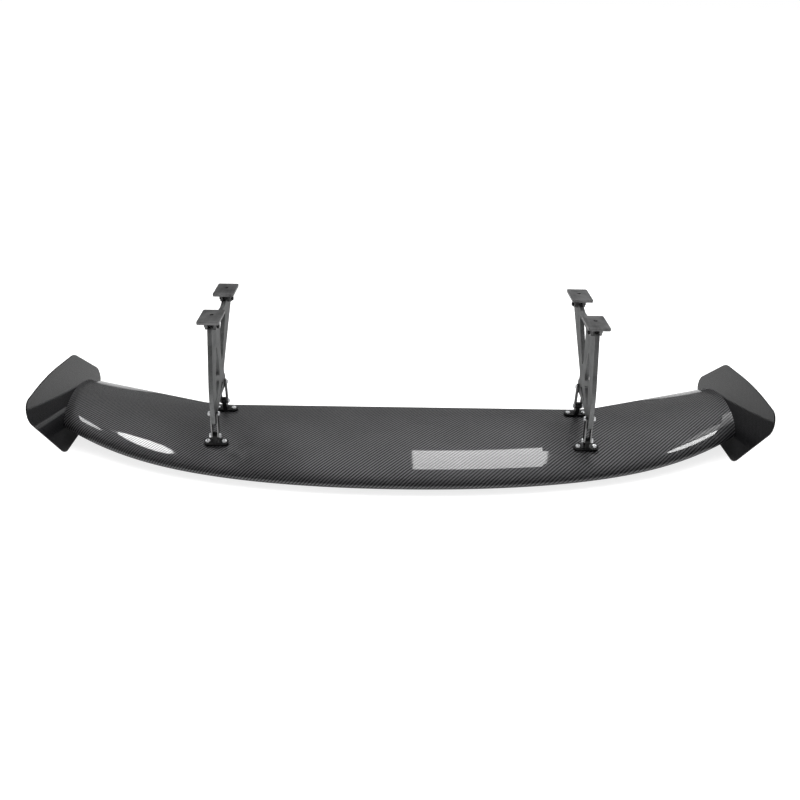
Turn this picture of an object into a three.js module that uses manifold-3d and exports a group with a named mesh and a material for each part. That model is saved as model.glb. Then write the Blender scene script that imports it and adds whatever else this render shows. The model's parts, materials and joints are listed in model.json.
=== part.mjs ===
// Racing rear wing: a swept carbon aerofoil with flat end plates and two truss pedestals.
// It lies upside down, as it is handled off the car: suction side and pedestal feet up.
// Millimetres, +Z up, X along the span, -Y towards the leading edge.
// Until the last lines, y = 0 is the front bracket and z = 0 the floor of the layout drawing.
import * as THREE from 'three'
import { mergeVertices } from 'three/addons/utils/BufferGeometryUtils.js'
import Module from 'manifold-3d'

const wasm = await Module()
wasm.setup()

// ---- Driving dimensions ----

const fitGap = 0.3 // clearance between touching pieces
const roundSides = 10 // sides of every small round piece
const cutterLength = 60 // cutting tools run right through what they cut

// Wing planform: the tip is where the section meets the end plate
const tipX = 757
const trailingKinkX = 425 // the trailing edge is straight inboard of this
const kinkBlend = 40
const centreTrailing = { y: 162, z: 73 }
const tipTrailing = { y: 354, z: 42 }
const centreLeading = { y: -113, z: 20 }
const leadingSweep = { square: 130, fourth: 72 } // growth of y with (x / tipX)^2 and ^4
const leadingRise = 30 // growth of z with (x / tipX)^5

// Wing section
const thicknessRatio = 0.12
const centreCamber = 0.02
const tipCamberGain = 0.08
const camberPeak = 0.48
const noseCoefficients = [0.43, -0.5322, 0.3397, -0.2375] // of sqrt(x), x, x^2, x^3
const trailingThickness = 3.2
const skinThickness = 2.2
const seamFraction = 0.012 // chord fraction where the skins meet under the nose
const noseCentreFraction = 0.06
const skinStations = 21 // sections along the span
const glueGap = 1.2 // between the skins and the blocks bonded inside them
const seamGapFraction = 0.004 // between the two skins under the nose
const tipRib = { thickness: 10, front: 0.1, rear: 0.9 } // front and rear as chord fractions

// End plates
const flare = THREE.MathUtils.degToRad(9.2)
const plateThickness = 3
const plateTop = { x: 770.5, z: 154 } // a point on the plate's inner face
const plateCorners = [
  // along y, up the plate, corner radius
  [-83, 11, 31],
  [88, 19.5, 1000],
  [255, 2, 60],
  [384, -96, 24],
  [286, -157, 40],
  [53, -157, 36],
]
const plateScrews = [
  // along y, up the plate
  [182, -76],
  [252, -82],
]
const plateScrewLength = 12

// Pedestals
const pedestalX = 397.5
const pedestalThickness = 9.5
const pedestalOutline = [
  // y, z, corner radius
  [14, 316, 5],
  [60, 316, 8],
  [74, 311, 30],
  [166, 311, 30],
  [184, 316, 8],
  [244, 316, 6],
  [250, 301, 5],
  [106, 181, 12],
  [123, 166, 8],
  [119, 144, 10],
  [58, 141, 30],
  [10, 124, 12],
  [9, 108, 8],
  [-17, 108, 8],
  [-20, 182, 200],
]
const pedestalWindows = [
  [
    [52, 266, 3],
    [64, 190, 5],
    [20, 208, 5],
  ],
  [
    [178, 302, 5],
    [103, 295, 6],
    [91, 232, 8],
    [94, 204, 6],
  ],
  [
    [24, 194, 4],
    [57, 181, 5],
    [6, 146, 4],
  ],
  [
    [80, 169, 4],
    [94, 160, 4],
    [60, 150, 6],
    [34, 144, 2],
  ],
]

// Pivots of one pedestal, seen from the side
const pivots = {
  frontLower: [-3, 79],
  frontUpper: [-1, 130],
  rearLower: [116, 106],
  rearUpper: [110, 155],
  frontFoot: [38, 312],
  rearFoot: [218, 312],
}
const pivotBoltRadius = 3
const boltClearance = 0.3
const openPivotClearance = 0.5 // the rear links' lower hole, where the linkage is cut open
const boltHead = { radius: 5.2, height: 3.5 }
const nut = { acrossCorners: 11, height: 4.5 }
const link = { radius: 7, thickness: 3 }

// Brackets between wing and links
const bracketStations = { front: 0, rear: 130 }
const bracketBase = { length: 54, width: 20, thickness: 5 }
const bracketScrewSpacing = 35.4
const lug = { reach: 8, corner: 7.4, footWidth: 19, footCorner: 0.5 } // reach from pivot to edge
const bracketScrew = { front: 15, rear: 11 } // shank lengths
const insertBlock = { length: 62, frontWidth: 40, rearWidth: 26 }

// Feet
const footTopZ = 334
const footPlate = { width: 46, length: 80, thickness: 6, corner: 4 }
const footHole = { radius: 4.2, behindCentre: 8 }
const footCheek = { length: 40, topWidth: 40, bottomWidth: 24, depth: 26, straight: 13.5 }
const clampScrew = { headHeight: 4, length: 28 }

// ---- Geometry helpers ----

function toSolid(geometry) {
  const bare = geometry.clone()
  bare.deleteAttribute('normal')
  bare.deleteAttribute('uv')
  const merged = mergeVertices(bare, 1e-4)
  return new wasm.Manifold(
    new wasm.Mesh({
      numProp: 3,
      vertProperties: new Float32Array(merged.attributes.position.array),
      triVerts: new Uint32Array(merged.index.array),
    }),
  )
}

function toGeometry(solid) {
  const mesh = solid.getMesh()
  const geometry = new THREE.BufferGeometry()
  geometry.setAttribute('position', new THREE.BufferAttribute(mesh.vertProperties, 3))
  geometry.setIndex(new THREE.BufferAttribute(mesh.triVerts, 1))
  return geometry
}

function cut(geometry, tools) {
  let solid = toSolid(geometry)
  for (const tool of tools) {
    solid = solid.subtract(toSolid(tool))
  }
  return toGeometry(solid)
}

function join(first, second) {
  return toGeometry(toSolid(first).add(toSolid(second)))
}

// Replaces each [x, y, radius] corner of an outline by an arc
function roundedPoints(corners, arcSteps = 4) {
  const points = []
  const count = corners.length
  corners.forEach(([x, y, radius], i) => {
    const corner = new THREE.Vector2(x, y)
    const before = corners[(i + count - 1) % count]
    const after = corners[(i + 1) % count]
    const toBefore = new THREE.Vector2(before[0] - x, before[1] - y).normalize()
    const toAfter = new THREE.Vector2(after[0] - x, after[1] - y).normalize()
    const halfAngle = Math.acos(THREE.MathUtils.clamp(toBefore.dot(toAfter), -1, 1)) / 2
    const toCentre = toBefore.clone().add(toAfter).normalize()
    const centre = corner.clone().addScaledVector(toCentre, radius / Math.sin(halfAngle))
    const tangent = radius / Math.tan(halfAngle)
    const start = corner.clone().addScaledVector(toBefore, tangent).sub(centre)
    const end = corner.clone().addScaledVector(toAfter, tangent).sub(centre)
    const turn = Math.atan2(start.cross(end), start.dot(end))
    for (let step = 0; step <= arcSteps; step++) {
      const spoke = start.clone().rotateAround(new THREE.Vector2(), (turn * step) / arcSteps)
      points.push(spoke.add(centre))
    }
  })
  return points
}

function circlePath(y, z, radius) {
  const points = []
  for (let i = 0; i < roundSides; i++) {
    const angle = (2 * Math.PI * i) / roundSides
    points.push(new THREE.Vector2(y + radius * Math.cos(angle), z + radius * Math.sin(angle)))
  }
  return new THREE.Path(points)
}

// A plate lying in the YZ plane, with its thickness centred on x = 0
function sidePlate(points, holes, thickness) {
  const clockwise = THREE.ShapeUtils.isClockWise(points)
  const shape = new THREE.Shape(clockwise ? [...points].reverse() : points)
  shape.holes.push(...holes)
  const geometry = new THREE.ExtrudeGeometry(shape, { depth: thickness, bevelEnabled: false })
  geometry.translate(0, 0, -thickness / 2)
  const axes = new THREE.Matrix4().makeBasis(
    new THREE.Vector3(0, 1, 0),
    new THREE.Vector3(0, 0, 1),
    new THREE.Vector3(1, 0, 0),
  )
  return geometry.applyMatrix4(axes)
}

// A closed solid between two point grids of the same size
function solidBetween(outer, inner) {
  const rows = outer.length
  const columns = outer[0].length
  const positions = []
  for (const grid of [outer, inner]) {
    for (const row of grid) {
      for (const point of row) {
        positions.push(point.x, point.y, point.z)
      }
    }
  }
  const at = (grid, row, column) => (grid * rows + row) * columns + column
  const triangles = []
  const quad = (a, b, c, d) => triangles.push(a, b, c, a, c, d)
  for (let r = 0; r < rows - 1; r++) {
    for (let c = 0; c < columns - 1; c++) {
      quad(at(0, r, c), at(0, r + 1, c), at(0, r + 1, c + 1), at(0, r, c + 1))
      quad(at(1, r, c), at(1, r, c + 1), at(1, r + 1, c + 1), at(1, r + 1, c))
    }
  }
  const last = columns - 1
  for (let r = 0; r < rows - 1; r++) {
    quad(at(0, r, 0), at(1, r, 0), at(1, r + 1, 0), at(0, r + 1, 0))
    quad(at(0, r, last), at(0, r + 1, last), at(1, r + 1, last), at(1, r, last))
  }
  for (let c = 0; c < last; c++) {
    quad(at(0, 0, c), at(0, 0, c + 1), at(1, 0, c + 1), at(1, 0, c))
    quad(at(0, rows - 1, c), at(1, rows - 1, c), at(1, rows - 1, c + 1), at(0, rows - 1, c + 1))
  }
  const geometry = new THREE.BufferGeometry()
  geometry.setAttribute('position', new THREE.Float32BufferAttribute(positions, 3))
  geometry.setIndex(triangles)
  return geometry
}

// ---- Wing surface ----

// Zero up to the kink, then rising one for one, with a parabola between
function rampPast(x, kink, blend) {
  const past = x - kink
  if (past <= -blend) return 0
  if (past >= blend) return past
  return (past + blend) ** 2 / (4 * blend)
}

function sectionFrame(x) {
  const span = Math.min(Math.abs(x) / tipX, 1)
  const outboard = rampPast(Math.abs(x), trailingKinkX, kinkBlend) / (tipX - trailingKinkX)
  return {
    leadingY: centreLeading.y + leadingSweep.square * span ** 2 + leadingSweep.fourth * span ** 4,
    leadingZ: centreLeading.z + leadingRise * span ** 5,
    trailingY: THREE.MathUtils.lerp(centreTrailing.y, tipTrailing.y, outboard),
    trailingZ: THREE.MathUtils.lerp(centreTrailing.z, tipTrailing.z, outboard),
    camber: centreCamber + tipCamberGain * span ** 4,
  }
}

function halfThickness(fraction, chord) {
  const [a, b, c, d] = noseCoefficients
  const shape = a * Math.sqrt(fraction) + b * fraction + c * fraction ** 2 + d * fraction ** 3
  return 5 * thicknessRatio * chord * shape + (fraction * trailingThickness) / 2
}

function camberHeight(fraction, camber) {
  const p = camberPeak
  if (fraction < p) return (camber / p ** 2) * (2 * p * fraction - fraction ** 2)
  return (camber / (1 - p) ** 2) * (1 - 2 * p + 2 * p * fraction - fraction ** 2)
}

// side +1 is the suction surface, -1 the pressure surface, 0 the camber line
function sectionPoint(x, fraction, side) {
  const frame = sectionFrame(x)
  const alongY = frame.trailingY - frame.leadingY
  const alongZ = frame.trailingZ - frame.leadingZ
  const chord = Math.hypot(alongY, alongZ)
  const height = camberHeight(fraction, frame.camber) * chord + side * halfThickness(fraction, chord)
  return new THREE.Vector2(
    frame.leadingY + fraction * alongY - (height * alongZ) / chord,
    frame.leadingZ + fraction * alongZ + (height * alongY) / chord,
  )
}

// Distance outboard of the plate's inner face at the tip, measured at this height
function plateInnerX(z) {
  return plateTop.x - (plateTop.z - z) * Math.tan(flare)
}

// Sections lean with the end plate near the tip and stand upright inboard of the kink
function placed(x, point) {
  const lean = rampPast(Math.abs(x), trailingKinkX, kinkBlend) / (tipX - trailingKinkX)
  const tipOffset = plateInnerX(point.y) - fitGap - tipX
  return new THREE.Vector3(x + Math.sign(x) * lean * tipOffset, point.x, point.y)
}

// Moves a surface point inwards, never further than the camber line allows
function inwards(x, fraction, side, depth) {
  const surface = sectionPoint(x, fraction, side)
  const core = sectionPoint(x, Math.max(fraction, noseCentreFraction), 0)
  const room = surface.distanceTo(core)
  const reach = Math.min(depth, room - fitGap / 2)
  return surface.lerp(core, reach / room)
}

function spanStations(start, end, count) {
  return Array.from({ length: count }, (_, i) => THREE.MathUtils.lerp(start, end, i / (count - 1)))
}

// Chord fractions bunched at the nose, where the surface turns fastest
function chordFractions(start, end, count) {
  const angleOf = (fraction) => Math.acos(1 - 2 * fraction)
  return Array.from({ length: count }, (_, i) => {
    const angle = THREE.MathUtils.lerp(angleOf(start), angleOf(end), i / (count - 1))
    return (1 - Math.cos(angle)) / 2
  })
}

// One skin as a shell: signed fractions run round the nose, negative on the pressure side
function skinGeometry(signedFractions) {
  const stations = spanStations(-tipX, tipX, skinStations)
  const grid = (depth) =>
    stations.map((x) =>
      signedFractions.map((signed) => {
        const side = Math.sign(signed) || 1
        const point = depth
          ? inwards(x, Math.abs(signed), side, depth)
          : sectionPoint(x, Math.abs(signed), side)
        return placed(x, point)
      }),
    )
  return solidBetween(grid(0), grid(skinThickness))
}

// A block that fills the wing between its skins
function fillerGeometry(stations, fractions) {
  const surface = (side) =>
    stations.map((x) =>
      fractions.map((fraction) => placed(x, inwards(x, fraction, side, skinThickness + glueGap))),
    )
  return solidBetween(surface(1), surface(-1))
}

// Chord fraction of the suction surface at a given y
function fractionAt(x, y) {
  let low = 0
  let high = 1
  for (let i = 0; i < 30; i++) {
    const middle = (low + high) / 2
    if (sectionPoint(x, middle, 1).x < y) low = middle
    else high = middle
  }
  return low
}

// ---- Small round pieces, made along +X with the bearing face of the head at x = 0 ----

function turned(profile) {
  const points = profile.map(([radius, along]) => new THREE.Vector2(radius, along))
  return new THREE.LatheGeometry(points, roundSides).rotateZ(-Math.PI / 2)
}

function screwGeometry(head, shankRadius, length) {
  return turned([
    [0, -head.height],
    [head.radius * 0.7, -head.height],
    [head.radius, -head.height * 0.35],
    [head.radius, 0],
    [shankRadius, 0],
    [shankRadius, length],
    [0, length],
  ])
}

function nutGeometry() {
  const hexagon = Array.from({ length: 6 }, (_, i) => {
    const angle = (Math.PI * i) / 3
    const radius = nut.acrossCorners / 2
    return new THREE.Vector2(radius * Math.cos(angle), radius * Math.sin(angle))
  })
  const hole = circlePath(0, 0, pivotBoltRadius + boltClearance)
  return sidePlate(hexagon, [hole], nut.height)
}

function holeTool(radius) {
  return new THREE.CylinderGeometry(radius, radius, cutterLength, roundSides)
}

// ---- Assembly ----

const group = new THREE.Group()

const finishes = {
  carbon: { color: 0x26282a, roughness: 0.18, metalness: 0 },
  plate: { color: 0x1c1e20, roughness: 0.2, metalness: 0 },
  foam: { color: 0x8a8578, roughness: 0.9, metalness: 0 },
  anodised: { color: 0x55585a, roughness: 0.45, metalness: 0.8 },
  black: { color: 0x1a1b1c, roughness: 0.4, metalness: 0.6 },
  link: { color: 0x6b6e70, roughness: 0.35, metalness: 0.9 },
  stainless: { color: 0xc4c6c8, roughness: 0.25, metalness: 1 },
}

function addMesh(parent, name, geometry, finish) {
  const mesh = new THREE.Mesh(geometry, new THREE.MeshStandardMaterial(finishes[finish]))
  mesh.name = name
  parent.add(mesh)
  return mesh
}

// ---- Brackets: position and slope on the suction surface ----

function bracketSeat(position) {
  const y = bracketStations[position]
  const reach = bracketBase.width / 2
  const heightAt = (atY, x) => sectionPoint(x, fractionAt(x, atY), 1).y
  const inner = pedestalX - bracketBase.length / 2
  const outer = pedestalX + bracketBase.length / 2
  const slope = Math.atan2(
    heightAt(y + reach, pedestalX) - heightAt(y - reach, pedestalX),
    2 * reach,
  )
  const highest = Math.max(...[inner, pedestalX, outer].map((x) => heightAt(y, x)))
  return { y, z: highest + fitGap / Math.cos(slope), slope }
}

const seats = { front: bracketSeat('front'), rear: bracketSeat('rear') }

// Places something modelled about the bracket's seat, +Z away from the wing
function onSeat(geometry, position, offsetX) {
  const seat = seats[position]
  return geometry.rotateX(seat.slope).translate(offsetX, seat.y, seat.z)
}

function bracketScrewTools(position, offsetX) {
  return [-1, 1].map((end) => {
    const hole = holeTool(pivotBoltRadius + boltClearance).rotateX(Math.PI / 2)
    hole.translate((end * bracketScrewSpacing) / 2, 0, 0)
    return onSeat(hole, position, offsetX)
  })
}

function bracketGeometry(position) {
  const seat = seats[position]
  const [pivotY, pivotZ] = pivots[position + 'Lower']
  const halfLength = bracketBase.length / 2
  const halfWidth = bracketBase.width / 2
  const endRadius = halfWidth - fitGap
  const stadium = roundedPoints([
    [-halfLength, -halfWidth, endRadius],
    [halfLength, -halfWidth, endRadius],
    [halfLength, halfWidth, endRadius],
    [-halfLength, halfWidth, endRadius],
  ])
  const base = new THREE.ExtrudeGeometry(new THREE.Shape(stadium), {
    depth: bracketBase.thickness,
    bevelEnabled: false,
  })
  onSeat(base, position, 0)
  const footZ = seat.z + bracketBase.thickness / 2
  const upright = roundedPoints([
    [seat.y - lug.footWidth / 2, footZ, lug.footCorner],
    [seat.y + lug.footWidth / 2, footZ, lug.footCorner],
    [pivotY + lug.reach, pivotZ + lug.reach, lug.corner],
    [pivotY - lug.reach, pivotZ + lug.reach, lug.corner],
  ])
  const hole = circlePath(pivotY, pivotZ, pivotBoltRadius + boltClearance)
  const body = join(base, sidePlate(upright, [hole], pedestalThickness))
  return cut(body, bracketScrewTools(position, 0))
}

// ---- Links, pedestal, feet ----

function linkGeometry(position) {
  const [lowerY, lowerZ] = pivots[position + 'Lower']
  const [upperY, upperZ] = pivots[position + 'Upper']
  const lean = Math.atan2(lowerY - upperY, upperZ - lowerZ)
  const points = []
  const arcSteps = 6
  for (const [centreY, centreZ, start] of [
    [upperY, upperZ, lean],
    [lowerY, lowerZ, lean + Math.PI],
  ]) {
    for (let i = 0; i <= arcSteps; i++) {
      const angle = start + (Math.PI * i) / arcSteps
      points.push(
        new THREE.Vector2(
          centreY + link.radius * Math.cos(angle),
          centreZ + link.radius * Math.sin(angle),
        ),
      )
    }
  }
  const lowerClearance = position === 'rear' ? openPivotClearance : boltClearance
  const holes = [
    circlePath(lowerY, lowerZ, pivotBoltRadius + lowerClearance),
    circlePath(upperY, upperZ, pivotBoltRadius + boltClearance),
  ]
  return sidePlate(points, holes, link.thickness)
}

function pedestalGeometry() {
  const windows = pedestalWindows.map((corners) => new THREE.Path(roundedPoints(corners, 3)))
  const holes = ['frontUpper', 'rearUpper', 'frontFoot', 'rearFoot'].map((name) =>
    circlePath(...pivots[name], pivotBoltRadius + boltClearance),
  )
  return sidePlate(roundedPoints(pedestalOutline), [...windows, ...holes], pedestalThickness)
}

// Top plate with two tapered cheeks that straddle the pedestal
function footGeometry(name) {
  const [pivotY, pivotZ] = pivots[name]
  const halfWidth = footPlate.width / 2
  const halfLength = footPlate.length / 2
  const corner = footPlate.corner
  const plate = new THREE.ExtrudeGeometry(
    new THREE.Shape(
      roundedPoints(
        [
          [-halfWidth, -halfLength, corner],
          [halfWidth, -halfLength, corner],
          [halfWidth, halfLength, corner],
          [-halfWidth, halfLength, corner],
        ],
        3,
      ),
    ),
    { depth: footPlate.thickness, bevelEnabled: false },
  )
  plate.translate(0, pivotY, footTopZ - footPlate.thickness)

  const cheekTop = footTopZ - footPlate.thickness / 2
  const cheekBottom = cheekTop - footCheek.depth
  const taperStart = cheekBottom + footCheek.straight
  const halfTop = footCheek.topWidth / 2
  const halfBottom = footCheek.bottomWidth / 2
  const taper = new THREE.Shape([
    new THREE.Vector2(-halfTop, cheekTop),
    new THREE.Vector2(-halfBottom, taperStart),
    new THREE.Vector2(-halfBottom, cheekBottom),
    new THREE.Vector2(halfBottom, cheekBottom),
    new THREE.Vector2(halfBottom, taperStart),
    new THREE.Vector2(halfTop, cheekTop),
  ])
  const cheeks = new THREE.ExtrudeGeometry(taper, { depth: footCheek.length, bevelEnabled: false })
  cheeks.rotateX(Math.PI / 2)
  cheeks.translate(0, pivotY + footCheek.length / 2, 0)

  const slotWidth = pedestalThickness + 2 * fitGap
  const slotTop = footTopZ - footPlate.thickness
  const slot = new THREE.BoxGeometry(slotWidth, cutterLength, cutterLength)
  slot.translate(0, pivotY, slotTop - cutterLength / 2)
  const pivotHole = holeTool(pivotBoltRadius + boltClearance).rotateZ(Math.PI / 2)
  pivotHole.translate(0, pivotY, pivotZ)
  const mountHole = holeTool(footHole.radius).rotateX(Math.PI / 2)
  mountHole.translate(0, pivotY + footHole.behindCentre, footTopZ)
  return cut(join(plate, cheeks), [slot, pivotHole, mountHole])
}

// ---- One complete pedestal; inboard is +1 on the left side and -1 on the right ----

function addPedestal(sideName, centreX, inboard) {
  const place = (mesh, x = 0, y = 0, z = 0) => mesh.position.set(centreX + x, y, z)
  const linkX = pedestalThickness / 2 + fitGap + link.thickness / 2
  const headX = linkX + link.thickness / 2 + fitGap
  const nutX = headX + nut.height / 2
  const pairEnds = [
    ['inner', inboard],
    ['outer', -inboard],
  ]

  place(addMesh(group, `pedestal_${sideName}`, pedestalGeometry(), 'anodised'))

  for (const position of ['front', 'rear']) {
    const bracketName = `wing_bracket_${position}_${sideName}`
    place(addMesh(group, bracketName, bracketGeometry(position), 'black'))

    for (const [end, sign] of pairEnds) {
      const name = `link_${position}_${end}_${sideName}`
      place(addMesh(group, name, linkGeometry(position), 'link'), sign * linkX)
    }

    for (const level of ['lower', 'upper']) {
      const [y, z] = pivots[position + (level === 'lower' ? 'Lower' : 'Upper')]
      const bolt = screwGeometry(boltHead, pivotBoltRadius, 2 * nutX)
      if (inboard > 0) bolt.rotateY(Math.PI)
      const stem = `${position}_${level}_${sideName}`
      place(addMesh(group, `pivot_bolt_${stem}`, bolt, 'stainless'), inboard * headX, y, z)
      place(addMesh(group, `pivot_nut_${stem}`, nutGeometry(), 'stainless'), -inboard * nutX, y, z)
    }

    for (const [end, sign] of pairEnds) {
      const screw = screwGeometry(boltHead, pivotBoltRadius, bracketScrew[position])
      screw.rotateY(Math.PI / 2)
      screw.translate((sign * bracketScrewSpacing) / 2, 0, bracketBase.thickness + fitGap)
      const name = `bracket_screw_${position}_${end}_${sideName}`
      place(addMesh(group, name, onSeat(screw, position, 0), 'stainless'))
    }

    const footName = `${position}Foot`
    const foot = addMesh(group, `foot_${position}_${sideName}`, footGeometry(footName), 'black')
    place(foot)
    const head = { radius: boltHead.radius, height: clampScrew.headHeight }
    const clamp = screwGeometry(head, pivotBoltRadius, clampScrew.length)
    if (inboard > 0) clamp.rotateY(Math.PI)
    const cheekFace = inboard * (footCheek.bottomWidth / 2 + fitGap)
    place(
      addMesh(group, `foot_screw_${position}_${sideName}`, clamp, 'black'),
      cheekFace,
      ...pivots[footName],
    )
  }
}

// ---- End plate in its own plane: local X outwards, Y along the car, Z up the plate ----

function addEndPlate(sideName, side) {
  const lean = new THREE.Group()
  lean.position.set(side * plateTop.x, 0, plateTop.z)
  lean.rotation.y = side * flare
  group.add(lean)

  const holes = plateScrews.map(([y, up]) => circlePath(y, up, pivotBoltRadius + boltClearance))
  const plate = sidePlate(roundedPoints(plateCorners, 6), holes, plateThickness)
  plate.translate((side * plateThickness) / 2, 0, 0)
  addMesh(lean, `end_plate_${sideName}`, plate, 'plate')

  plateScrews.forEach(([y, up], i) => {
    const screw = screwGeometry(boltHead, pivotBoltRadius, plateScrewLength)
    if (side > 0) screw.rotateY(Math.PI)
    const name = `end_plate_screw_${i === 0 ? 'front' : 'rear'}_${sideName}`
    const mesh = addMesh(lean, name, screw, 'stainless')
    mesh.position.set(side * (plateThickness + fitGap), y, up)
  })

  // Screw holes in the tip rib, cut in the wing's frame
  lean.updateMatrixWorld(true)
  return plateScrews.map(([y, up]) => {
    const tool = holeTool(pivotBoltRadius + boltClearance).rotateZ(Math.PI / 2)
    return tool.translate(0, y, up).applyMatrix4(lean.matrixWorld)
  })
}

// ---- Wing ----

const nearNose = 0.0005 // chord fraction of the points beside the nose
const suctionFractions = [
  ...chordFractions(nearNose, seamFraction, 3).reverse().map((fraction) => -fraction),
  ...chordFractions(nearNose, 1, 15),
]
const pressureFractions = chordFractions(seamFraction + seamGapFraction, 1, 12)
  .reverse()
  .map((fraction) => -fraction)

const bracketHoles = [-1, 1].flatMap((side) =>
  ['front', 'rear'].flatMap((position) => bracketScrewTools(position, side * pedestalX)),
)

addMesh(group, 'suction_skin', skinGeometry(suctionFractions), 'carbon')
addMesh(group, 'pressure_skin', skinGeometry(pressureFractions), 'carbon')

for (const [sideName, side] of [
  ['left', -1],
  ['right', 1],
]) {
  addPedestal(sideName, side * pedestalX, -side)
  const ribHoles = addEndPlate(sideName, side)

  const ribEnds = [side * tipX, side * (tipX - tipRib.thickness)].sort((a, b) => a - b)
  const rib = fillerGeometry(ribEnds, chordFractions(tipRib.front, tipRib.rear, 9))
  addMesh(group, `tip_rib_${sideName}`, cut(rib, ribHoles), 'foam')

  for (const position of ['front', 'rear']) {
    const half = insertBlock[`${position}Width`] / 2
    const y = bracketStations[position]
    const x = side * pedestalX
    const ends = [x - insertBlock.length / 2, x, x + insertBlock.length / 2]
    const fractions = chordFractions(fractionAt(x, y - half), fractionAt(x, y + half), 5)
    const block = fillerGeometry(ends, fractions)
    addMesh(group, `insert_${position}_${sideName}`, cut(block, bracketHoles), 'foam')
  }
}

const suctionSkin = group.getObjectByName('suction_skin')
suctionSkin.geometry = cut(suctionSkin.geometry, bracketHoles)

// Centre the assembly over the origin, standing on the floor
group.updateMatrixWorld(true)
const bounds = new THREE.Box3().setFromObject(group, true)
const middle = bounds.getCenter(new THREE.Vector3())
group.position.set(-middle.x, -middle.y, -bounds.min.z)

export default group
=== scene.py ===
"""Looks of a racing rear wing: gloss twill carbon, anodised pedestals and bright fasteners.

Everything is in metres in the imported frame. The wing lies upside down: +Z up, X along the span,
-Y towards the leading edge.
"""

import json
import math

import bmesh
import bpy
from mathutils import Matrix, Vector


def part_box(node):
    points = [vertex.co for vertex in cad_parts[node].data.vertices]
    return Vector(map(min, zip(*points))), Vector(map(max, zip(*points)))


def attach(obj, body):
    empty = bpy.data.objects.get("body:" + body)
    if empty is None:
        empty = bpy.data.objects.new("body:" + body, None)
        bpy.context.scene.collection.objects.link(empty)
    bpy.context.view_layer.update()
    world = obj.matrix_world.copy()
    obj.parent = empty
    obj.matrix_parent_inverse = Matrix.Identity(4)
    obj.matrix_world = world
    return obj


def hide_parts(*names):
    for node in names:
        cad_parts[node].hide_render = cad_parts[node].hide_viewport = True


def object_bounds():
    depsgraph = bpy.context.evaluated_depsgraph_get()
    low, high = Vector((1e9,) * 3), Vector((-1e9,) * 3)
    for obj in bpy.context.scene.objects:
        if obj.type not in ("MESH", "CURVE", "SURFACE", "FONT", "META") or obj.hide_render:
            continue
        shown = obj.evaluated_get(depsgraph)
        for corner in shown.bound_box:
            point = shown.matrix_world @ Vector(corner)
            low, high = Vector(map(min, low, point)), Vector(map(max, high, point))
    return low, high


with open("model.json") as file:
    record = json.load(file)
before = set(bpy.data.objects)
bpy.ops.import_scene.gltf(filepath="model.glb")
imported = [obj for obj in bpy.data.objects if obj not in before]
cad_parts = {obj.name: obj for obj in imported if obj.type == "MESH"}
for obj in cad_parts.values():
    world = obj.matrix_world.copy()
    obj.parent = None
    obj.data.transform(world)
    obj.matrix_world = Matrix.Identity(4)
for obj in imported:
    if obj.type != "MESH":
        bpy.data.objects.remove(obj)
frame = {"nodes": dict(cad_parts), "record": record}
cad_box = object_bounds()

# ---- Driving dimensions (the wing's own drawing, as in the CAD) ----

MM = 0.001
FIT_GAP = 0.3 * MM

TIP_X = 757 * MM
TRAILING_KINK_X = 425 * MM
KINK_BLEND = 40 * MM
CENTRE_TRAILING = (162 * MM, 73 * MM)
TIP_TRAILING = (354 * MM, 42 * MM)
CENTRE_LEADING = (-113 * MM, 20 * MM)
SWEEP_SQUARE = 130 * MM
SWEEP_FOURTH = 72 * MM
LEADING_RISE = 30 * MM

THICKNESS_RATIO = 0.12
CENTRE_CAMBER = 0.02
TIP_CAMBER_GAIN = 0.08
CAMBER_PEAK = 0.48
NOSE_COEFFICIENTS = (0.43, -0.5322, 0.3397, -0.2375)
TRAILING_THICKNESS = 3.2 * MM
SKIN_THICKNESS = 2.2 * MM
SEAM_FRACTION = 0.012
SEAM_GAP_FRACTION = 0.004
NOSE_CENTRE_FRACTION = 0.06

FLARE = math.radians(9.2)
PLATE_THICKNESS = 3 * MM
PLATE_TOP = (770.5 * MM, 154 * MM)
PLATE_CORNERS = [
    (-83, 11, 31),
    (88, 19.5, 1000),
    (255, 2, 60),
    (384, -96, 24),
    (286, -157, 40),
    (53, -157, 36),
]
PLATE_SCREWS = [(182, -76), (252, -82)]
PLATE_SCREW_LENGTH = 12 * MM

PEDESTAL_THICKNESS = 9.5 * MM
PEDESTAL_OUTLINE = [
    (14, 316, 5),
    (60, 316, 8),
    (74, 311, 30),
    (166, 311, 30),
    (184, 316, 8),
    (244, 316, 6),
    (250, 301, 5),
    (106, 181, 12),
    (123, 166, 8),
    (119, 144, 10),
    (58, 141, 30),
    (10, 124, 12),
    (9, 108, 8),
    (-17, 108, 8),
    (-20, 182, 200),
]
PEDESTAL_WINDOWS = [
    [(52, 266, 3), (64, 190, 5), (20, 208, 5)],
    [(178, 302, 5), (103, 295, 6), (91, 232, 8), (94, 204, 6)],
    [(24, 194, 4), (57, 181, 5), (6, 146, 4)],
    [(80, 169, 4), (94, 160, 4), (60, 150, 6), (34, 144, 2)],
]
PIVOTS = ("front_lower", "front_upper", "rear_lower", "rear_upper")

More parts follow.
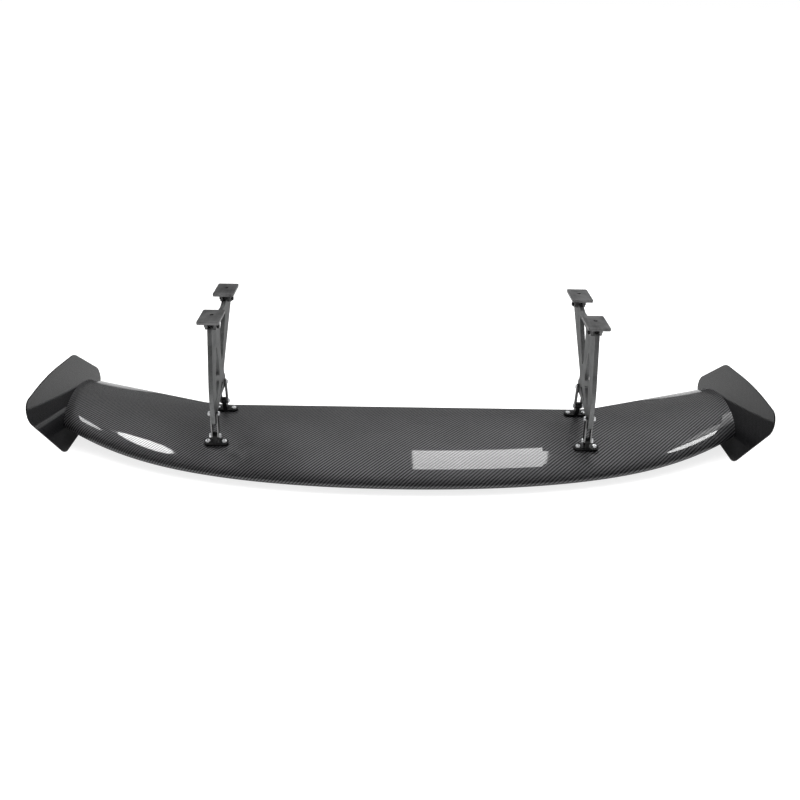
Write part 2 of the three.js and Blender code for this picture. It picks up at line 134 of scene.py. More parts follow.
BOLT_RADIUS = 3 * MM
HOLE_RADIUS = 3.3 * MM
HEAD_RADIUS = 5.2 * MM
HEAD_HEIGHT = 3.5 * MM
SOCKET_APOTHEM = 2 * MM
PLAIN_SHANK = 2 * MM
THREAD_PITCH = 1 * MM
NUT_APOTHEM = 4.75 * MM
LINK_RADIUS = 7 * MM
LINK_THICKNESS = 3 * MM
LUG_REACH = 8 * MM
LUG_FOOT_WIDTH = 19 * MM
BRACKET_WIDTH = 20 * MM
BRACKET_THICKNESS = 5 * MM
BRACKET_SCREW_SPACING = 35.4 * MM
BRACKET_SCREW_LENGTHS = {"front": 15 * MM, "rear": 11 * MM}
BRACKET_STATIONS = {"front": 0, "rear": 130 * MM}
FOOT_PLATE_THICKNESS = 6 * MM
FOOT_CORNER = 4 * MM
FOOT_HOLE_RADIUS = 4.2 * MM
FOOT_HOLE_BEHIND = 8 * MM
FOOT_TOP = 334 * MM
CHEEK_OUTER = 12 * MM
CHEEK_FLARE = 7 * MM
CHEEK_TOP_HALF_WIDTH = 20 * MM
CHEEK_BOTTOM = (13 * MM, 7 * MM)  # half width and depth of its rounded end below the screw
CHEEK_FLARE_START = 6 * MM  # above the screw
FOOT_SCREW_HEAD = 4 * MM
EDGE_ROUNDING = 0.6 * MM

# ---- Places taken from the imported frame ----

SIDES = {"left": -1, "right": 1}
BODY_OF = {
    node: body
    for body, nodes in frame["record"]["behaviour"]["bodies"].items()
    for node in nodes
}


def centre(node):
    """The middle of a CAD node's box."""
    low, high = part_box(node)
    return (low + high) / 2


# The drawing's origin in the frame: the front upper pivot is 1 mm ahead of it, and the feet's
# tops stand FOOT_TOP above it.
DRAWING = Vector(
    (
        0,
        centre("pivot_bolt_front_upper_left").y + 1 * MM,
        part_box("foot_front_left")[1].z - FOOT_TOP,
    )
)


# ---- Mesh helpers ----


def link(obj):
    bpy.context.scene.collection.objects.link(obj)
    return obj


def mesh_object(name, vertices, faces):
    mesh = bpy.data.meshes.new(name)
    mesh.from_pydata([tuple(v) for v in vertices], [], faces)
    mesh.validate()
    return link(bpy.data.objects.new(name, mesh))


def rounded_outline(corners, steps=8):
    """Points of an outline whose (a, b, radius) corners, in millimetres, become arcs."""
    points = []
    count = len(corners)
    for i, (a, b, radius) in enumerate(corners):
        corner = Vector((a, b))
        to_before = (Vector(corners[i - 1][:2]) - corner).normalized()
        to_after = (Vector(corners[(i + 1) % count][:2]) - corner).normalized()
        half = math.acos(max(-1, min(1, to_before.dot(to_after)))) / 2
        middle = corner + (to_before + to_after).normalized() * (radius / math.sin(half))
        start = corner + to_before * (radius / math.tan(half)) - middle
        end = corner + to_after * (radius / math.tan(half)) - middle
        turn = math.atan2(start.x * end.y - start.y * end.x, start.dot(end))
        for step in range(steps + 1):
            angle = turn * step / steps
            spoke = Vector(
                (
                    start.x * math.cos(angle) - start.y * math.sin(angle),
                    start.x * math.sin(angle) + start.y * math.cos(angle),
                )
            )
            points.append((middle + spoke) * MM)
    return points


def circle(a, b, radius, steps=32):
    return [
        Vector(
            (
                a + radius * math.cos(2 * math.pi * i / steps),
                b + radius * math.sin(2 * math.pi * i / steps),
            )
        )
        for i in range(steps)
    ]


def anticlockwise(loop):
    area = sum(p.x * q.y - q.x * p.y for p, q in zip(loop, loop[1:] + loop[:1]))
    return loop if area > 0 else loop[::-1]


def flat_plate(name, outline, holes, thickness, edge):
    """A plate in its own XY plane, centred on z = 0, with rounded edges and a cloth UV map."""
    curve = bpy.data.curves.new(name + "_outline", "CURVE")
    curve.dimensions = "2D"
    curve.fill_mode = "BOTH"
    curve.extrude = thickness / 2 - edge
    curve.bevel_depth = edge
    curve.bevel_resolution = 2
    curve.offset = -edge
    loops = [anticlockwise(outline)] + [anticlockwise(hole)[::-1] for hole in holes]
    for loop in loops:
        spline = curve.splines.new("POLY")
        spline.points.add(len(loop) - 1)
        for point, place in zip(spline.points, loop):
            point.co = (place.x, place.y, 0, 1)
        spline.use_cyclic_u = True
    maker = link(bpy.data.objects.new(name + "_maker", curve))
    bpy.context.view_layer.update()
    evaluated = maker.evaluated_get(bpy.context.evaluated_depsgraph_get())
    mesh = bpy.data.meshes.new_from_object(evaluated)
    bpy.data.objects.remove(maker)
    mesh.name = name
    bm = bmesh.new()
    bm.from_mesh(mesh)
    bmesh.ops.remove_doubles(bm, verts=bm.verts, dist=1e-6)
    bmesh.ops.recalc_face_normals(bm, faces=bm.faces)
    uv = bm.loops.layers.uv.new("cloth")
    for face in bm.faces:
        for corner in face.loops:
            corner[uv].uv = corner.vert.co.xy
    bm.to_mesh(mesh)
    bm.free()
    return link(bpy.data.objects.new(name, mesh))


# Turns a plate's own axes into the side plane: its X becomes Y, its Y becomes Z
SIDE_PLANE = Matrix(((0, 0, 1, 0), (1, 0, 0, 0), (0, 1, 0, 0), (0, 0, 0, 1)))


def transform(obj, matrix):
    obj.data.transform(matrix)
    obj.data.update()
    return obj


def combine(target, tool, operation):
    """Joins or cuts with another object, which is used up."""
    modifier = target.modifiers.new("combine", "BOOLEAN")
    modifier.operation = operation
    modifier.solver = "EXACT"
    modifier.object = tool
    bpy.context.view_layer.update()
    evaluated = target.evaluated_get(bpy.context.evaluated_depsgraph_get())
    mesh = bpy.data.meshes.new_from_object(evaluated)
    target.modifiers.clear()
    target.data = mesh
    bpy.data.objects.remove(tool)
    return target


def score(obj, height):
    """Adds edges where a level plane crosses the object, so that it can bend there."""
    bm = bmesh.new()
    bm.from_mesh(obj.data)
    everything = bm.verts[:] + bm.edges[:] + bm.faces[:]
    bmesh.ops.bisect_plane(bm, geom=everything, plane_co=(0, 0, height), plane_no=(0, 0, 1))
    bm.to_mesh(obj.data)
    bm.free()


def smooth(obj, angle=35):
    """Smooth shading with creases kept, and flat faces kept flat."""
    mesh = obj.data
    mesh.shade_smooth()
    mesh.set_sharp_from_angle(angle=math.radians(angle))
    weighted = obj.modifiers.new("weighted", "WEIGHTED_NORMAL")
    weighted.keep_sharp = True
    return obj


def turned(name, profile, sides=24, closed=False):
    """A solid of rings along +X. Each ring is (along, radius) or (along, apothem, "hex")."""
    vertices = []
    for ring in profile:
        for i in range(sides):
            angle = 2 * math.pi * i / sides
            radius = ring[1]
            if len(ring) == 3:
                sixth = (angle + math.pi / 6) % (math.pi / 3) - math.pi / 6
                radius = ring[1] / math.cos(sixth)
            vertices.append((ring[0], radius * math.cos(angle), radius * math.sin(angle)))
    faces = []
    count = len(profile)
    for r in range(count if closed else count - 1):
        for i in range(sides):
            j = (i + 1) % sides
            s = (r + 1) % count
            faces.append((r * sides + i, r * sides + j, s * sides + j, s * sides + i))
    if not closed:
        faces.append(tuple(range(sides))[::-1])
        faces.append(tuple((count - 1) * sides + i for i in range(sides)))
    obj = mesh_object(name, vertices, faces)
    bm = bmesh.new()
    bm.from_mesh(obj.data)
    bmesh.ops.recalc_face_normals(bm, faces=bm.faces)
    bm.to_mesh(obj.data)
    bm.free()
    return obj


# ---- Materials ----


class Shader:
    """A small helper around one material's node tree."""

    def __init__(self, name, **settings):
        self.material = bpy.data.materials.new(name)
        self.material.use_nodes = True
        self.tree = self.material.node_tree
        self.surface = self.tree.nodes["Principled BSDF"]
        for socket, value in settings.items():
            self.surface.inputs[socket.replace("_", " ")].default_value = value

    def add(self, kind, **settings):
        made = self.tree.nodes.new(kind)
        for key, value in settings.items():
            setattr(made, key, value)
        return made

    def wire(self, source, target):
        self.tree.links.new(source, target)

    def math(self, operation, *values):
        made = self.add("ShaderNodeMath", operation=operation)
        for socket, value in zip(made.inputs, values):
            if isinstance(value, (int, float)):
                socket.default_value = value
            else:
                self.wire(value, socket)
        return made.outputs[0]

    def colours(self, factor, low, high, start=0.0, end=1.0):
        ramp = self.add("ShaderNodeValToRGB")
        ramp.color_ramp.elements[0].position = start
        ramp.color_ramp.elements[1].position = end
        ramp.color_ramp.elements[0].color = (*low, 1)
        ramp.color_ramp.elements[1].color = (*high, 1)
        self.wire(factor, ramp.inputs[0])
        return ramp.outputs[0]

    def range(self, value, low, high):
        made = self.add("ShaderNodeMapRange")
        self.wire(value, made.inputs["Value"])
        made.inputs["To Min"].default_value = low
        made.inputs["To Max"].default_value = high
        return made.outputs[0]

    def noise(self, vector, scale, detail=3.0, stretch=(1, 1, 1)):
        mapping = self.add("ShaderNodeMapping")
        mapping.inputs["Scale"].default_value = stretch
        self.wire(vector, mapping.inputs["Vector"])
        made = self.add("ShaderNodeTexNoise")
        made.inputs["Scale"].default_value = scale
        made.inputs["Detail"].default_value = detail
        self.wire(mapping.outputs[0], made.inputs["Vector"])
        return made.outputs["Fac"]

    def place(self):
        return self.add("ShaderNodeTexCoord").outputs["Object"]

    def bump(self, height, distance, strength=1.0, target="Normal"):
        made = self.add("ShaderNodeBump")
        made.inputs["Strength"].default_value = strength
        made.inputs["Distance"].default_value = distance
        self.wire(height, made.inputs["Height"])
        self.wire(made.outputs[0], self.surface.inputs[target])


TOW_WIDTH = 2.1 * MM  # one bundle of fibres in the cloth


def carbon(name, dark, bright, metallic, relief, lacquer_ior):
    """2x2 twill under clear lacquer. The cloth UV map is in metres."""
    shader = Shader(
        name,
        Metallic=metallic,
        Roughness=0.4,
        Specular_IOR_Level=0.05,
        Coat_Weight=1.0,
        Coat_Roughness=0.035,
        Coat_IOR=lacquer_ior,
    )
    cloth = shader.add("ShaderNodeUVMap", uv_map="cloth").outputs[0]
    split = shader.add("ShaderNodeSeparateXYZ")
    shader.wire(cloth, split.inputs[0])
    across = shader.math("DIVIDE", split.outputs[0], TOW_WIDTH)
    along = shader.math("DIVIDE", split.outputs[1], TOW_WIDTH)
    column = shader.math("FLOOR", across)
    row = shader.math("FLOOR", along)

    # Two tows over, two under, stepping one tow each row
    step = shader.math("DIVIDE", shader.math("SUBTRACT", column, row), 4)
    warp_on_top = shader.math("LESS_THAN", shader.math("FRACT", step), 0.4)

    def crown(position):
        """1 along the middle of a tow, 0 at its sides."""
        offset = shader.math("SUBTRACT", shader.math("MULTIPLY", position, 2), 1)
        return shader.math("SUBTRACT", 1, shader.math("MULTIPLY", offset, offset))

    def float_arch(difference, shift):
        """The arch of a tow over the two that it floats across."""
        part = shader.math("DIVIDE", difference, 4)
        turns = shader.math("FRACT", shader.math("ADD", part, shift))
        return crown(shader.math("MULTIPLY", turns, 2))

    warp_height = shader.math(
        "ADD",
        crown(shader.math("FRACT", across)),
        float_arch(shader.math("SUBTRACT", column, along), 0.25),
    )
    weft_height = shader.math(
        "ADD",
        crown(shader.math("FRACT", along)),
        float_arch(shader.math("SUBTRACT", across, row), 0.5),
    )
    mix = shader.add("ShaderNodeMix")
    shader.wire(warp_on_top, mix.inputs["Factor"])
    shader.wire(weft_height, mix.inputs["A"])
    shader.wire(warp_height, mix.inputs["B"])
    height = mix.outputs["Result"]

    # Fibres run along each tow, and no two tows reflect quite alike
    warp_fibres = shader.noise(cloth, 1, 2, (9000, 160, 1))
    weft_fibres = shader.noise(cloth, 1, 2, (160, 9000, 1))
    fibres = shader.add("ShaderNodeMix")
    shader.wire(warp_on_top, fibres.inputs["Factor"])
    shader.wire(weft_fibres, fibres.inputs["A"])
    shader.wire(warp_fibres, fibres.inputs["B"])
    drift = shader.noise(cloth, 9, 2)
    tone = shader.math("MULTIPLY", warp_on_top, shader.range(fibres.outputs["Result"], 0.6, 1))
    tone = shader.math("ADD", tone, shader.math("MULTIPLY", height, 0.12))
    tone = shader.math("MULTIPLY", tone, shader.range(drift, 0.8, 1.1))
    shader.wire(shader.colours(tone, dark, bright), shader.surface.inputs["Base Color"])
    shader.bump(height, relief)

    # The lacquer has a very slight orange peel
    peel = shader.noise(shader.place(), 160, 2)
    shader.bump(peel, 0.02 * MM, 0.5, "Coat Normal")
    return shader.material


def anodised(name, dark, bright, roughness, edge_tint=1.0):
    """Anodised aluminium: a fine blasted grain, faint handling marks, satin sheen."""
    shader = Shader(name, Metallic=0.9, Specular_Tint=(edge_tint, edge_tint, edge_tint, 1))
    place = shader.place()
    fine = shader.noise(place, 900, 4)
    patches = shader.noise(place, 28, 3)
    strokes = shader.noise(place, 260, 2, (1, 0.06, 1))
    tone = shader.math("ADD", shader.math("MULTIPLY", fine, 0.5), patches)
    tone = shader.math("ADD", tone, shader.math("MULTIPLY", strokes, 0.25))
    shader.wire(
        shader.colours(tone, dark, bright, 0.6, 1.15), shader.surface.inputs["Base Color"]
    )
    low, high = roughness
    shader.wire(shader.range(patches, low, high), shader.surface.inputs["Roughness"])
    shader.bump(fine, 0.05 * MM, 0.6)
    return shader.material


def machined(name, dark, bright, roughness):
    """Bare machined edge: fine feed lines across the cut."""
    shader = Shader(name, Metallic=1.0)
    place = shader.place()
    lines = shader.noise(place, 700, 2, (0.15, 1, 1))
    patches = shader.noise(place, 40, 2)
    shader.wire(shader.colours(lines, dark, bright, 0.3, 0.7), shader.surface.inputs["Base Color"])
    low, high = roughness
    shader.wire(shader.range(patches, low, high), shader.surface.inputs["Roughness"])
    shader.bump(lines, 0.03 * MM, 0.5)
    return shader.material


def stainless(name):
    """Bright stainless fastener, lightly brushed, with a little dulling."""
    shader = Shader(name, Metallic=0.7)
    place = shader.place()
    haze = shader.noise(place, 120, 3)
    marks = shader.noise(place, 1500, 2, (0.2, 1, 1))
    shader.wire(
        shader.colours(haze, (0.58, 0.59, 0.6), (0.86, 0.87, 0.88), 0.3, 0.7),
        shader.surface.inputs["Base Color"],
    )
    shader.wire(shader.range(marks, 0.2, 0.36), shader.surface.inputs["Roughness"])
    shader.bump(marks, 0.02 * MM, 0.3)
    return shader.material


def foam(name):
    """Closed-cell foam and resin: pale, mottled and matt."""
    shader = Shader(name)
    place = shader.place()
    cells = shader.noise(place, 700, 2)
    stains = shader.noise(place, 30, 3)
    tone = shader.math("ADD", shader.math("MULTIPLY", cells, 0.6), shader.math("MULTIPLY", stains, 0.5))
    shader.wire(
        shader.colours(tone, (0.3, 0.28, 0.23), (0.52, 0.49, 0.42), 0.35, 0.75),
        shader.surface.inputs["Base Color"],
    )
    shader.wire(shader.range(stains, 0.75, 0.95), shader.surface.inputs["Roughness"])
    shader.bump(cells, 0.3 * MM)
    return shader.material


MATERIALS = {
    "carbon": carbon(
        "twill_carbon", (0.001, 0.001, 0.001), (0.155, 0.155, 0.16), 0.85, 0.2 * MM, 1.42
    ),
    "end_plate": carbon(
        "plate_carbon", (0.002, 0.002, 0.002), (0.008, 0.008, 0.009), 0.0, 0.05 * MM, 1.3
    ),
    "anodised": anodised(
        "grey_anodised", (0.12, 0.123, 0.123), (0.25, 0.254, 0.254), (0.38, 0.5), 0.5
    ),
    "black": anodised("black_anodised", (0.012, 0.012, 0.012), (0.05, 0.05, 0.051), (0.24, 0.36)),
    # A lighter copy of the black anodising, for the feet only: painted sheen standing in for the
    # reflection on their tops
    "black_painted_sheen": anodised("black_painted_sheen", (0.08, 0.08, 0.081), (0.24, 0.24, 0.242), (0.3, 0.45)),
    "link": anodised(
        "link_anodised", (0.07, 0.072, 0.072), (0.15, 0.153, 0.153), (0.34, 0.46), 0.4
    ),
    "link_edge": machined("link_edge", (0.2, 0.2, 0.2), (0.38, 0.38, 0.38), (0.24, 0.38)),
    "stainless": stainless("stainless"),
    "core": foam("core_foam"),
}


def finish_piece(obj, node, slot, extra=None, look=None):
    """Gives a piece the material of its look, or else of its slot, and its body, and hides the CAD node
    it stands for.
    """
    obj.data.materials.clear()
    obj.data.materials.append(MATERIALS[look or slot])
    if extra:
        obj.data.materials.append(MATERIALS[extra])
    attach(obj, BODY_OF[node])
    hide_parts(node)
    return obj


# ---- Wing skins ----


def lerp(a, b, t):
    return a + (b - a) * t


def ramp_past(x, kink, blend):
    """Zero up to the kink, then rising one for one, with a parabola between."""
    past = x - kink
    if past <= -blend:
        return 0
    if past >= blend:
        return past
    return (past + blend) ** 2 / (4 * blend)


def outboard_of_kink(x):
    return ramp_past(abs(x), TRAILING_KINK_X, KINK_BLEND) / (TIP_X - TRAILING_KINK_X)


def leading_y(x):
    span = abs(x) / TIP_X
    return CENTRE_LEADING[0] + SWEEP_SQUARE * span**2 + SWEEP_FOURTH * span**4


def half_thickness(fraction, chord):
    a, b, c, d = NOSE_COEFFICIENTS
    shape = a * math.sqrt(fraction) + b * fraction + c * fraction**2 + d * fraction**3
    return 5 * THICKNESS_RATIO * chord * shape + fraction * TRAILING_THICKNESS / 2


def camber_height(fraction, camber):
    p = CAMBER_PEAK
    if fraction < p:
        return camber / p**2 * (2 * p * fraction - fraction**2)
    return camber / (1 - p) ** 2 * (1 - 2 * p + 2 * p * fraction - fraction**2)


LIP_RADIUS = 1.5 * MM  # rounding of the trailing edge
LIP_COLUMNS = 6
USUAL_CHORD = 0.27  # near enough to place the columns of the trailing edge


def lip(fraction, chord):
    """Share of the thickness left as the trailing edge rounds off."""
    reach = 1 - LIP_RADIUS / chord
    if fraction <= reach:
        return 1
    past = min((fraction - reach) / (1 - reach), 1)
    return math.sqrt(1 - 0.98 * past**2)


def section_point(x, fraction, side):
    """Side +1 is the suction surface, -1 the pressure surface, 0 the camber line."""
    span = abs(x) / TIP_X
    leading = Vector((leading_y(x), CENTRE_LEADING[1] + LEADING_RISE * span**5))
    outboard = outboard_of_kink(x)
    trailing = Vector(
        (
            lerp(CENTRE_TRAILING[0], TIP_TRAILING[0], outboard),
            lerp(CENTRE_TRAILING[1], TIP_TRAILING[1], outboard),
        )
    )
    along = trailing - leading
    chord = along.length
    camber = CENTRE_CAMBER + TIP_CAMBER_GAIN * span**4
    height = camber_height(fraction, camber) * chord
    height += side * half_thickness(fraction, chord) * lip(fraction, chord)
    return leading + along * fraction + Vector((-along.y, along.x)) / chord * height


def placed(x, point):
    """Sections lean with the end plate near the tip."""
    inner_face = PLATE_TOP[0] - (PLATE_TOP[1] - point.y) * math.tan(FLARE)
    offset = outboard_of_kink(x) * (inner_face - FIT_GAP - TIP_X)
    outwards = math.copysign(1, x)
    return Vector((x + outwards * offset, point.x, point.y)) + DRAWING


def skin_point(x, fraction, side, depth):
    surface = section_point(x, fraction, side)
    if depth:
        core = section_point(x, max(fraction, NOSE_CENTRE_FRACTION), 0)
        room = (core - surface).length
        reach = min(depth, room - FIT_GAP / 2)
        surface = surface.lerp(core, reach / room)
    return placed(x, surface)


def nose_angles(start, end, count):
    """Angles whose (1 - cos) / 2 is the chord fraction; negative ones are below the nose."""
    return [lerp(start, end, i / (count - 1)) for i in range(count)]


def wing_skin(name, angles, stations):
    """A closed shell whose columns run round the nose and rows along the span."""
    chords = [((1 - math.cos(angle)) / 2, 1 if angle > 0 else -1) for angle in angles]
    rows = len(stations)
    columns = len(chords)
    vertices = []
    uvs = []
    for depth in (0, SKIN_THICKNESS):
        for x in stations:
            row = [skin_point(x, fraction, side, depth) for fraction, side in chords]
            vertices += row
            travel = [0.0]
            for before, after in zip(row, row[1:]):
                travel.append(travel[-1] + (after.yz - before.yz).length)
            nose = min(range(columns), key=lambda c: abs(angles[c]))
            shift = leading_y(x) - leading_y(0) - travel[nose]
            uvs += [(x, shift + distance) for distance in travel]

    def at(layer, row, column):
        return (layer * rows + row) * columns + column

    faces = []
    for r in range(rows - 1):
        for c in range(columns - 1):
            faces.append((at(0, r, c), at(0, r + 1, c), at(0, r + 1, c + 1), at(0, r, c + 1)))
            faces.append((at(1, r, c), at(1, r, c + 1), at(1, r + 1, c + 1), at(1, r + 1, c)))
    for c in (0, columns - 1):
        for r in range(rows - 1):
            faces.append((at(0, r, c), at(1, r, c), at(1, r + 1, c), at(0, r + 1, c)))
    for r in (0, rows - 1):
        for c in range(columns - 1):
            faces.append((at(0, r, c), at(0, r, c + 1), at(1, r, c + 1), at(1, r, c)))
    obj = mesh_object(name, vertices, faces)
    bm = bmesh.new()
    bm.from_mesh(obj.data)
    bmesh.ops.recalc_face_normals(bm, faces=bm.faces)
    layer = bm.loops.layers.uv.new("cloth")
    for face in bm.faces:
        for corner in face.loops:
            corner[layer].uv = uvs[corner.vert.index]
    bm.to_mesh(obj.data)
    bm.free()
    obj.data.shade_smooth()
    obj.data.set_sharp_from_angle(angle=math.radians(40))
    return obj


def fraction_angle(fraction):
    return math.acos(1 - 2 * fraction)


LIP_START = fraction_angle(1 - 1.2 * LIP_RADIUS / USUAL_CHORD)


def lip_angles():
    """Columns that draw the rounded trailing edge."""
    shares = [math.sin(math.pi / 2 * i / LIP_COLUMNS) for i in range(1, LIP_COLUMNS + 1)]
    return [lerp(LIP_START, math.pi, share) for share in shares]


STATIONS = 241  # sections along the span
SUCTION_COLUMNS = 84
PRESSURE_COLUMNS = 60


def make_wing():
    stations = [lerp(-TIP_X, TIP_X, i / (STATIONS - 1)) for i in range(STATIONS)]
    seam = fraction_angle(SEAM_FRACTION)
    suction = nose_angles(-seam, LIP_START, SUCTION_COLUMNS) + lip_angles()
    finish_piece(wing_skin("fine_suction_skin", suction, stations), "suction_skin", "carbon")
    below = fraction_angle(SEAM_FRACTION + SEAM_GAP_FRACTION)
    pressure = [-a for a in nose_angles(below, LIP_START, PRESSURE_COLUMNS) + lip_angles()]
    finish_piece(wing_skin("fine_pressure_skin", pressure, stations), "pressure_skin", "carbon")
    for side_name in SIDES:
        for node in (f"tip_rib_{side_name}", f"insert_front_{side_name}", f"insert_rear_{side_name}"):
            core = frame["nodes"][node].data
            core.materials.clear()
            core.materials.append(MATERIALS["core"])


# ---- Fasteners ----


def button_head(radius, height, socket, sides=24):
    """Rings of a domed head with a hexagon socket, from the socket's floor to the bearing face."""
    rings = [(-height * 0.35, socket * 0.2, "hex"), (-height * 0.35, socket, "hex")]
    rings.append((-height * 0.97, socket, "hex"))
    rings.append((-height, socket * 1.25))
    for i in range(6):
        angle = math.pi / 2 * (i + 1) / 6
        rings.append(
            (-height * (0.25 + 0.75 * math.cos(angle)), lerp(socket * 1.3, radius, math.sin(angle)))
        )
    rings.append((0, radius))
    return rings


def shank(radius, length, thread_from):
    """Rings of a plain shank that ends in a thread with a chamfered tip."""
    rings = [(0, radius), (thread_from, radius)]
    along = thread_from
    while along + THREAD_PITCH < length - THREAD_PITCH / 2:
        rings.append((along + THREAD_PITCH * 0.45, radius * 0.87))
        rings.append((along + THREAD_PITCH * 0.95, radius))
        along += THREAD_PITCH
    rings.append((length - THREAD_PITCH * 0.4, radius * 0.9))
    rings.append((length, radius * 0.7))
    return rings


def screw(name, head_height, length, thread_from):
    rings = button_head(HEAD_RADIUS, head_height, SOCKET_APOTHEM)
    return smooth(turned(name, rings + shank(BOLT_RADIUS, length, thread_from)))


def hexagon_nut(name, height):
    """A chamfered nut, centred on x = 0."""
    half = height / 2
    inner = 0.4 * MM
    outer = 0.6 * MM
    rings = [
        (-half, HOLE_RADIUS + inner),
        (-half, NUT_APOTHEM * 0.96),
        (-half + outer, NUT_APOTHEM, "hex"),
        (half - outer, NUT_APOTHEM, "hex"),
        (half, NUT_APOTHEM * 0.96),
        (half, HOLE_RADIUS + inner),
        (half - inner, HOLE_RADIUS),
        (-half + inner, HOLE_RADIUS),
    ]
    return smooth(turned(name, rings, closed=True))


def place_on_axis(obj, node, flip, slot):
    """Centres a piece made along X on its CAD node, and turns it round if asked."""
    low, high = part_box(node)
    turn = Matrix.Rotation(math.pi, 4, "Z") if flip else Matrix.Identity(4)
    transform(obj, turn)
    xs = [v.co.x for v in obj.data.vertices]
    middle = (low + high) / 2
    shift = middle - Vector(((min(xs) + max(xs)) / 2, 0, 0))
    transform(obj, Matrix.Translation(shift))
    return finish_piece(obj, node, slot)


def make_pivot_fasteners(side_name, inboard):
    for pivot in PIVOTS:
        stem = f"{pivot}_{side_name}"
        bolt_node = f"pivot_bolt_{stem}"
        low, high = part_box(bolt_node)
        length = (high.x - low.x) - HEAD_HEIGHT
        bolt = screw(f"fine_{bolt_node}", HEAD_HEIGHT, length, length * 0.6)
        place_on_axis(bolt, bolt_node, inboard > 0, "stainless")
        nut_node = f"pivot_nut_{stem}"
        low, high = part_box(nut_node)
        nut = hexagon_nut(f"fine_{nut_node}", high.x - low.x)
        place_on_axis(nut, nut_node, inboard < 0, "stainless")


# ---- Links, pedestal, brackets, feet ----


def link_plate(name, lower, upper):
    """A flat bar with round ends and a hole at each pivot; lower and upper are (y, z)."""
    lean = math.atan2(lower.x - upper.x, upper.y - lower.y)
    outline = []
    steps = 20
    for middle, start in ((upper, lean), (lower, lean + math.pi)):
        for i in range(steps + 1):
            angle = start + math.pi * i / steps
            spoke = Vector((math.cos(angle), math.sin(angle)))
            outline.append(middle + spoke * LINK_RADIUS)
    holes = [circle(p.x, p.y, HOLE_RADIUS) for p in (lower, upper)]
    plate = flat_plate(name, outline, holes, LINK_THICKNESS, 0.4 * MM)
    for face in plate.data.polygons:
        face.material_index = 0 if abs(face.normal.z) > 0.8 else 1
    return plate


def make_links(side_name):
    for position in ("front", "rear"):
        lower = centre(f"pivot_bolt_{position}_lower_{side_name}").yz
        upper = centre(f"pivot_bolt_{position}_upper_{side_name}").yz
        for end in ("inner", "outer"):
            node = f"link_{position}_{end}_{side_name}"
            obj = link_plate(f"fine_{node}", lower, upper)
            shift = Matrix.Translation((centre(node).x, 0, 0))
            transform(obj, shift @ SIDE_PLANE)
            indices = [face.material_index for face in obj.data.polygons]
            finish_piece(smooth(obj), node, "link", "link_edge")
            obj.data.polygons.foreach_set("material_index", indices)


def make_pedestal(side_name):
    node = f"pedestal_{side_name}"
    holes = [rounded_outline(window, 6) for window in PEDESTAL_WINDOWS]
    pins = ["pivot_bolt_front_upper", "pivot_bolt_rear_upper", "foot_screw_front", "foot_screw_rear"]
    for pin in pins:
        middle = centre(f"{pin}_{side_name}") - DRAWING
        holes.append(circle(middle.y, middle.z, HOLE_RADIUS))
    plate = flat_plate(
        f"fine_{node}", rounded_outline(PEDESTAL_OUTLINE), holes, PEDESTAL_THICKNESS, EDGE_ROUNDING
    )
    shift = Matrix.Translation(DRAWING + Vector((centre(node).x, 0, 0)))
    transform(plate, shift @ SIDE_PLANE)
    finish_piece(smooth(plate), node, "anodised")


def bracket_slope(side_name, seat_y):
    """Slope of the suction surface under a bracket."""
    x = centre(f"pedestal_{side_name}").x
    reach = BRACKET_WIDTH / 2

    def height_at(y):
        start, end = 0.0, 1.0
        for _ in range(30):
            middle = (start + end) / 2
            if section_point(x, middle, 1).x + DRAWING.y < y:
                start = middle
            else:
                end = middle
        return section_point(x, start, 1).y

    return math.atan2(height_at(seat_y + reach) - height_at(seat_y - reach), 2 * reach)


def slab(name, half_x, half_y, corner, steps, holes, thickness, edge):
    """A level rectangular plate with rounded corners."""
    x, y, radius = half_x / MM, half_y / MM, corner / MM
    corners = [(-x, -y, radius), (x, -y, radius), (x, y, radius), (-x, y, radius)]
    return flat_plate(name, rounded_outline(corners, steps), holes, thickness, edge)


def make_lug(name, pivot, seat_y, foot_z):
    """The bracket's upright, round at the pivot and wide where it stands on the base."""
    outline = [
        Vector((pivot.y + LUG_REACH * math.cos(angle), pivot.z + LUG_REACH * math.sin(angle)))
        for angle in [math.pi * i / 16 for i in range(17)]
    ]
    outline.append(Vector((seat_y - LUG_FOOT_WIDTH / 2, foot_z)))
    outline.append(Vector((seat_y + LUG_FOOT_WIDTH / 2, foot_z)))
    hole = circle(pivot.y, pivot.z, HOLE_RADIUS)
    lug = flat_plate(name, outline, [hole], PEDESTAL_THICKNESS, EDGE_ROUNDING)
    return transform(lug, Matrix.Translation((pivot.x, 0, 0)) @ SIDE_PLANE)


